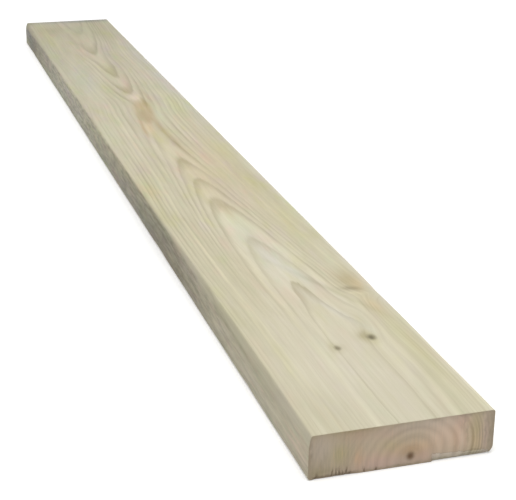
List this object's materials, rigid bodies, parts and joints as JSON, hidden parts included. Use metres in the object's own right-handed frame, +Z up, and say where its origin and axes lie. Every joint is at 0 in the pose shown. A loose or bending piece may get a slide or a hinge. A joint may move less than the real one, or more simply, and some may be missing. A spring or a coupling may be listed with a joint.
{
  "type": "timber plank",
  "caption": "Straight rectangular softwood plank with eased long arrises, square crosscut ends and one splintered lower end edge.",
  "frame": {"origin": "centre of the lower face's bounding rectangle, at the level the plank rests on", "axes": "+X along the grain towards the end with the splintered lower edge, +Y across the face, +Z up out of the upper face"},
  "size_m": [2.1, 0.2, 0.05],
  "materials": {
    "softwood": "bare planed softwood, pale cream with a faint green tint, matt, greyer and rougher on the sawn ends and edges"
  },
  "bodies": {
    "root": {"plank": "softwood"}
  },
  "joints": []
}
